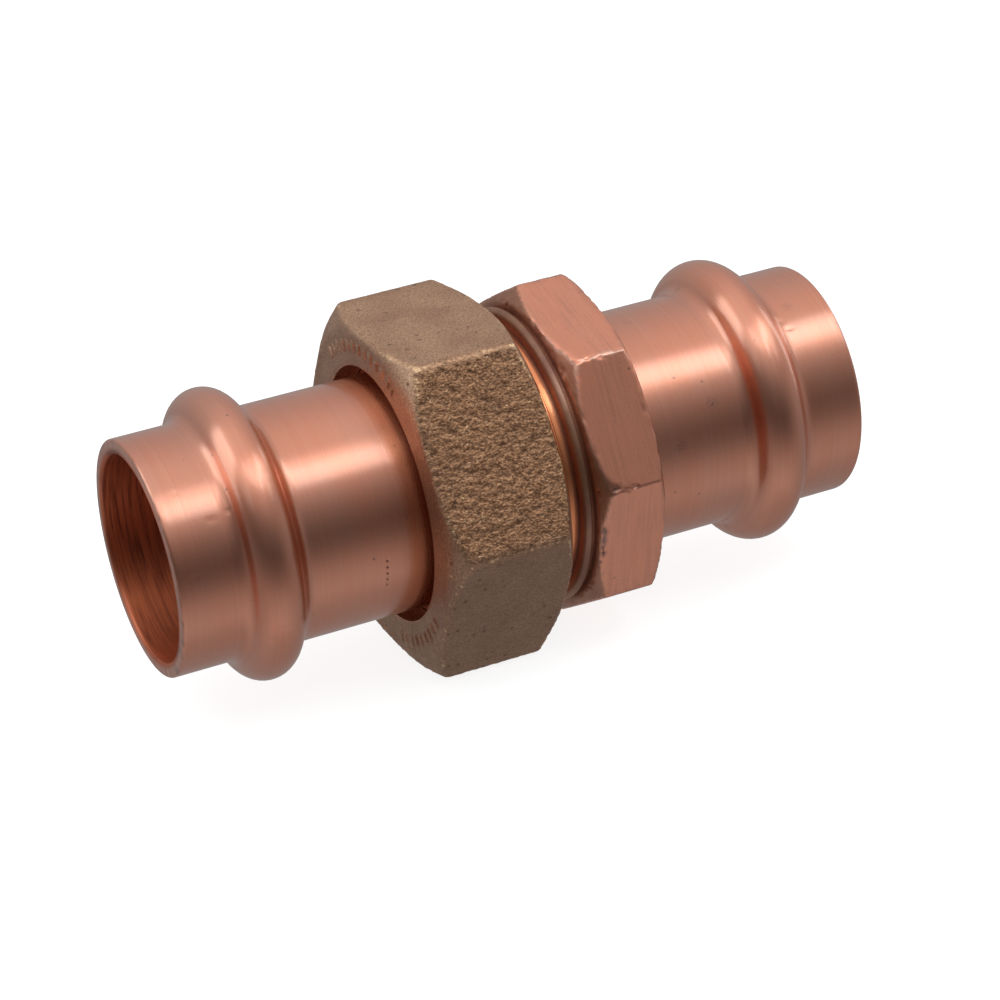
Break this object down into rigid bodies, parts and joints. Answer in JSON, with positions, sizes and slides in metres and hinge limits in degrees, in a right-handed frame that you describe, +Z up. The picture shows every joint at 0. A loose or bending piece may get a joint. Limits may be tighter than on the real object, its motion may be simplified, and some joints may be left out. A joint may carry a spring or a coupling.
{
  "type": "pipe union",
  "caption": "Press-end copper pipe union: tailpiece and threaded body drawn together by a captive bronze hexagon nut.",
  "frame": {"origin": "on the pipe's axis, halfway between the two mouths of the tight union", "axes": "+X along the pipe from the tailpiece to the union body, +Z up, with a flat of the nut facing down"},
  "size_m": [0.0792, 0.0422, 0.0374],
  "materials": {
    "copper": "satin turned copper",
    "cast_bronze": "rough sand-cast bronze",
    "epdm": "matt"
  },
  "bodies": {
    "tailpiece": {"tailpiece": "copper", "tailpiece_seal": "epdm"},
    "union_nut": {"union_nut": "cast_bronze"},
    "union_body": {"union_body": "copper", "body_seal": "epdm"}
  },
  "joints": [
    {"name": "nut_turn", "type": "hinge", "parent": "tailpiece", "child": "union_nut", "pos_m": [-0.00545, 0, 0], "axis": [-1, 0, 0], "range_deg": [0, 1620]},
    {"name": "body_pull", "type": "slide", "parent": "tailpiece", "child": "union_body", "axis": [1, 0, 0], "range_m": [0, 0.00714]}
  ],
  "couplings": [
    {"joint": "nut_turn", "follows": "body_pull", "rad_per_m": 3957.9}
  ]
}
